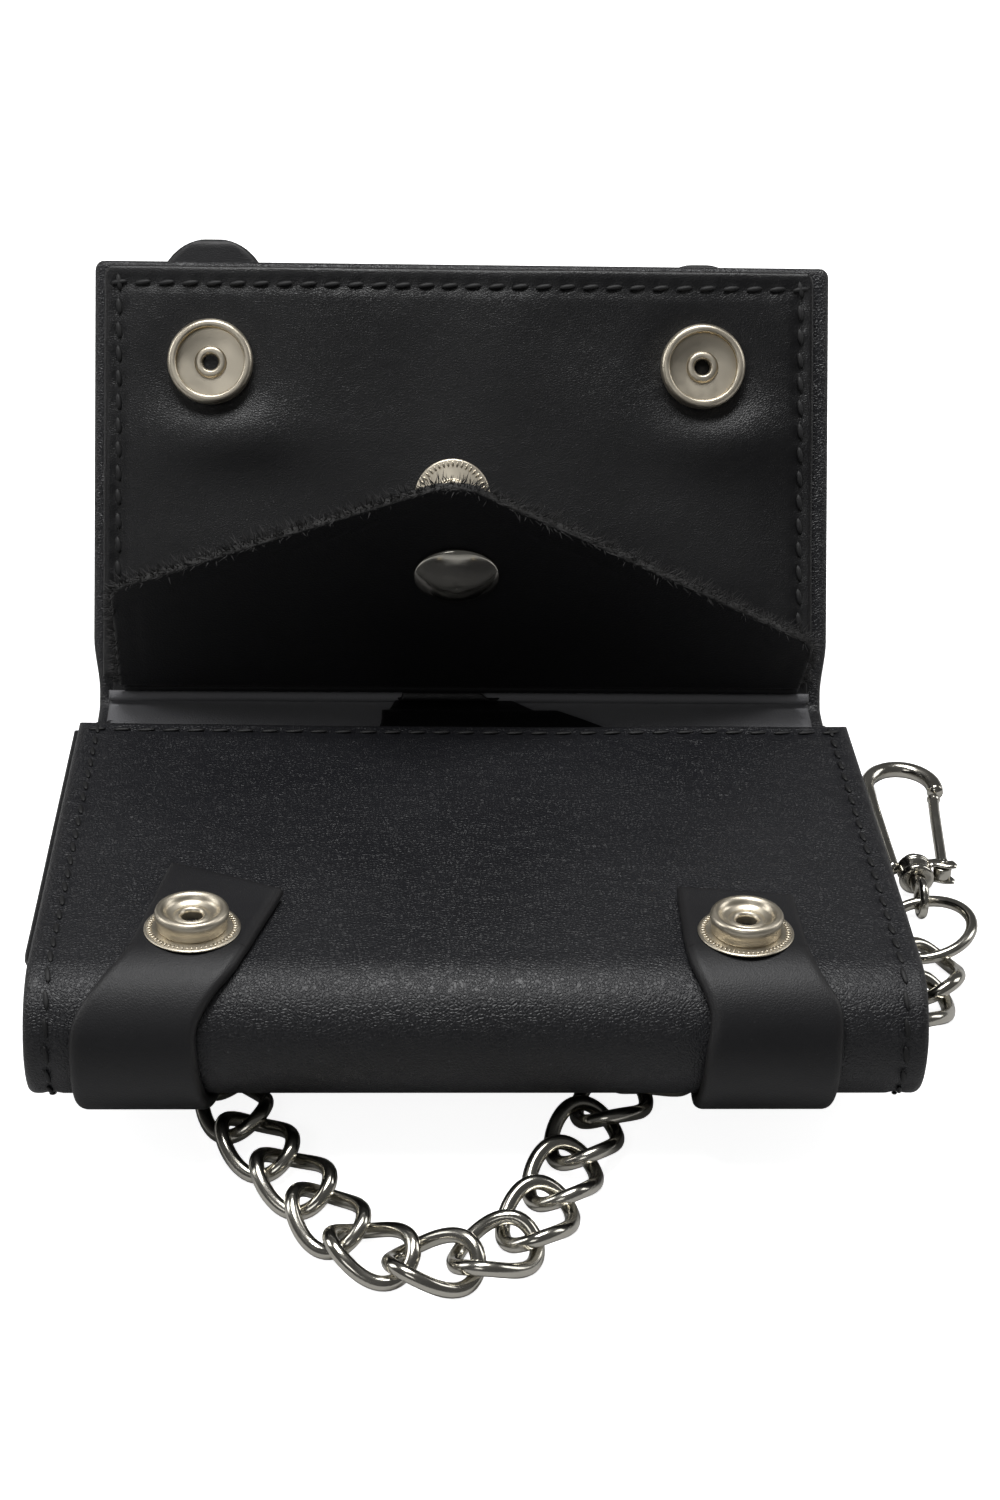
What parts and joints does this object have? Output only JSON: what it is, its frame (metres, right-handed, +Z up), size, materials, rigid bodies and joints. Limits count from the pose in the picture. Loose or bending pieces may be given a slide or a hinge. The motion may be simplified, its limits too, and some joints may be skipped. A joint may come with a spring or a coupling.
{
  "type": "chain wallet",
  "caption": "Black leather three-panel chain wallet, half open, with snap straps, coin flap, curb chain and snap hook.",
  "frame": {"origin": "on the floor under the middle of the whole object's box", "axes": "+X across the wallet to its right, +Y from the rounded front bend towards the raised flap, +Z up from the floor"},
  "size_m": [0.127, 0.1578, 0.0659],
  "materials": {
    "outer_leather": "pebbled, semi-matt",
    "lining_leather": "smooth, matt",
    "nickel": "polished nickel plate",
    "spring_brass": "bright wire"
  },
  "bodies": {
    "back": {"back_cover": "outer_leather", "back_lining": "lining_leather", "slant_pocket": "outer_leather", "strap_back_left": "outer_leather", "strap_back_right": "outer_leather", "chain_tab": "outer_leather", "tab_rivet": "nickel", "front_fold": "outer_leather", "fold_lining": "lining_leather", "strap_front_left": "outer_leather", "strap_front_right": "outer_leather", "rear_fold": "outer_leather", "rear_lining": "lining_leather", "strap_rear_left": "outer_leather", "strap_rear_right": "outer_leather"},
    "spine": {"rear_spine": "outer_leather", "spine_lining": "lining_leather", "spine_straps": "outer_leather", "flap_crease": "outer_leather"},
    "flap": {"flap_cover": "outer_leather", "pouch_back": "lining_leather", "flap_lining": "lining_leather", "strap_flap_left": "outer_leather", "strap_flap_right": "outer_leather", "snap_sockets": "nickel", "snap_springs": "spring_brass", "snap_caps": "nickel", "coin_stud": "nickel", "coin_post": "nickel"},
    "coin_root": {"coin_crease": "outer_leather"},
    "coin_flap_body": {"coin_flap": "outer_leather", "coin_cap": "nickel", "coin_socket": "nickel", "coin_spring": "spring_brass"},
    "front": {"front_cover": "outer_leather", "front_lining": "lining_leather", "card_pocket_1": "lining_leather", "card_pocket_2": "lining_leather", "card_pocket_3": "lining_leather"},
    "strap_end_left": {"strap_tip_left": "outer_leather", "stud_left": "nickel", "stud_post_left": "nickel"},
    "strap_end_right": {"strap_tip_right": "outer_leather", "stud_right": "nickel", "stud_post_right": "nickel"},
    "run_1": {"chain_1": "nickel"},
    "run_2": {"chain_2": "nickel"},
    "run_3": {"chain_3": "nickel"},
    "run_4": {"chain_4": "nickel"},
    "run_5": {"chain_5": "nickel"},
    "run_6": {"chain_6": "nickel"},
    "run_7": {"chain_7": "nickel"},
    "run_8": {"chain_8": "nickel"},
    "ring": {"end_ring": "nickel"},
    "swivel": {"swivel_eye": "nickel"},
    "hook": {"hook_body": "nickel", "gate_pin": "nickel"},
    "gate": {"hook_gate": "nickel"}
  },
  "joints": [
    {"name": "rear_fold_hinge", "type": "hinge", "parent": "back", "child": "spine", "pos_m": [-0.0076, 0.01681, 0.01406], "axis": [1, 0, 0], "range_deg": [0, 123.2], "deforming": ["rear_fold", "rear_lining", "strap_rear_left", "strap_rear_right", "slant_pocket"]},
    {"name": "flap_hinge", "type": "hinge", "parent": "spine", "child": "flap", "pos_m": [-0.0076, 0.0379, 0.00743], "axis": [1, 0, 0], "range_deg": [-55, 0], "deforming": ["flap_crease"]},
    {"name": "coin_close", "type": "hinge", "parent": "flap", "child": "coin_root", "pos_m": [-0.0076, 0.03655, 0.01221], "axis": [1, 0, 0], "range_deg": [-50.5, 0]},
    {"name": "coin_open", "type": "hinge", "parent": "coin_root", "child": "coin_flap_body", "pos_m": [-0.0076, 0.03655, 0.01221], "axis": [-1, 0, 0], "range_deg": [-45, 0]},
    {"name": "front_hinge", "type": "hinge", "parent": "back", "child": "front", "pos_m": [-0.0076, -0.0452, 0.01553], "axis": [1, 0, 0], "range_deg": [0, 150], "deforming": ["front_fold", "fold_lining", "strap_front_left", "strap_front_right"]},
    {"name": "strap_end_left_hinge", "type": "hinge", "parent": "front", "child": "strap_end_left", "pos_m": [-0.0432, -0.04403, 0.02546], "axis": [-1, 0, 0], "range_deg": [-50, 0]},
    {"name": "strap_end_right_hinge", "type": "hinge", "parent": "front", "child": "strap_end_right", "pos_m": [0.0256, -0.04403, 0.02546], "axis": [-1, 0, 0], "range_deg": [-50, 0]},
    {"name": "chain_sway_1", "type": "hinge", "parent": "back", "child": "run_1", "pos_m": [0.0387, 0.0198, 0.00221], "axis": [0, 0, 1], "range_deg": [-5, 5]},
    {"name": "chain_sway_2", "type": "hinge", "parent": "run_1", "child": "run_2", "pos_m": [0.00571, 0.02355, 0.00221], "axis": [0, 0, 1], "range_deg": [-5, 5]},
    {"name": "chain_sway_3", "type": "hinge", "parent": "run_2", "child": "run_3", "pos_m": [-0.02172, 0.01107, 0.00221], "axis": [0, 0, 1], "range_deg": [-5, 5]},
    {"name": "chain_sway_4", "type": "hinge", "parent": "run_3", "child": "run_4", "pos_m": [-0.03421, -0.01835, 0.00221], "axis": [0, 0, 1], "range_deg": [-5, 5]},
    {"name": "chain_sway_5", "type": "hinge", "parent": "run_4", "child": "run_5", "pos_m": [-0.03696, -0.0495, 0.00221], "axis": [0, 0, 1], "range_deg": [-5, 5]},
    {"name": "chain_sway_6", "type": "hinge", "parent": "run_5", "child": "run_6", "pos_m": [-0.01709, -0.07388, 0.00221], "axis": [0, 0, 1], "range_deg": [-5, 5]},
    {"name": "chain_sway_7", "type": "hinge", "parent": "run_6", "child": "run_7", "pos_m": [0.00453, -0.05541, 0.00221], "axis": [0, 0, 1], "range_deg": [-5, 5]},
    {"name": "chain_sway_8", "type": "hinge", "parent": "run_7", "child": "run_8", "pos_m": [0.02688, -0.03542, 0.00221], "axis": [0, 0, 1], "range_deg": [-5, 5]},
    {"name": "ring_swing", "type": "hinge", "parent": "run_8", "child": "ring", "pos_m": [0.05507, -0.01507, 0.00235], "axis": [0, 0, 1], "range_deg": [-6, 6]},
    {"name": "eye_swing", "type": "hinge", "parent": "ring", "child": "swivel", "pos_m": [0.05607, -0.003, 0.00298], "axis": [0, 0, 1], "range_deg": [-8, 8]},
    {"name": "hook_swivel", "type": "hinge", "parent": "swivel", "child": "hook", "pos_m": [0.05607, -0.003, 0.00298], "axis": [0, 1, 0], "continuous": true},
    {"name": "gate_hinge", "type": "hinge", "parent": "hook", "child": "gate", "pos_m": [0.06007, 0.0035, 0.00298], "axis": [0, 0, 1], "range_deg": [0, 18], "stiffness_Nm_per_rad": 0.01, "springref_deg": -17.19}
  ],
  "couplings": [
    {"joint": "coin_close", "follows": "rear_fold_hinge", "ratio": -0.4099},
    {"joint": "chain_sway_2", "follows": "chain_sway_1", "ratio": -1},
    {"joint": "chain_sway_3", "follows": "chain_sway_1", "ratio": 1},
    {"joint": "chain_sway_4", "follows": "chain_sway_1", "ratio": -1},
    {"joint": "chain_sway_5", "follows": "chain_sway_1", "ratio": 1},
    {"joint": "chain_sway_6", "follows": "chain_sway_1", "ratio": -1},
    {"joint": "chain_sway_7", "follows": "chain_sway_1", "ratio": 1},
    {"joint": "chain_sway_8", "follows": "chain_sway_1", "ratio": -1}
  ]
}
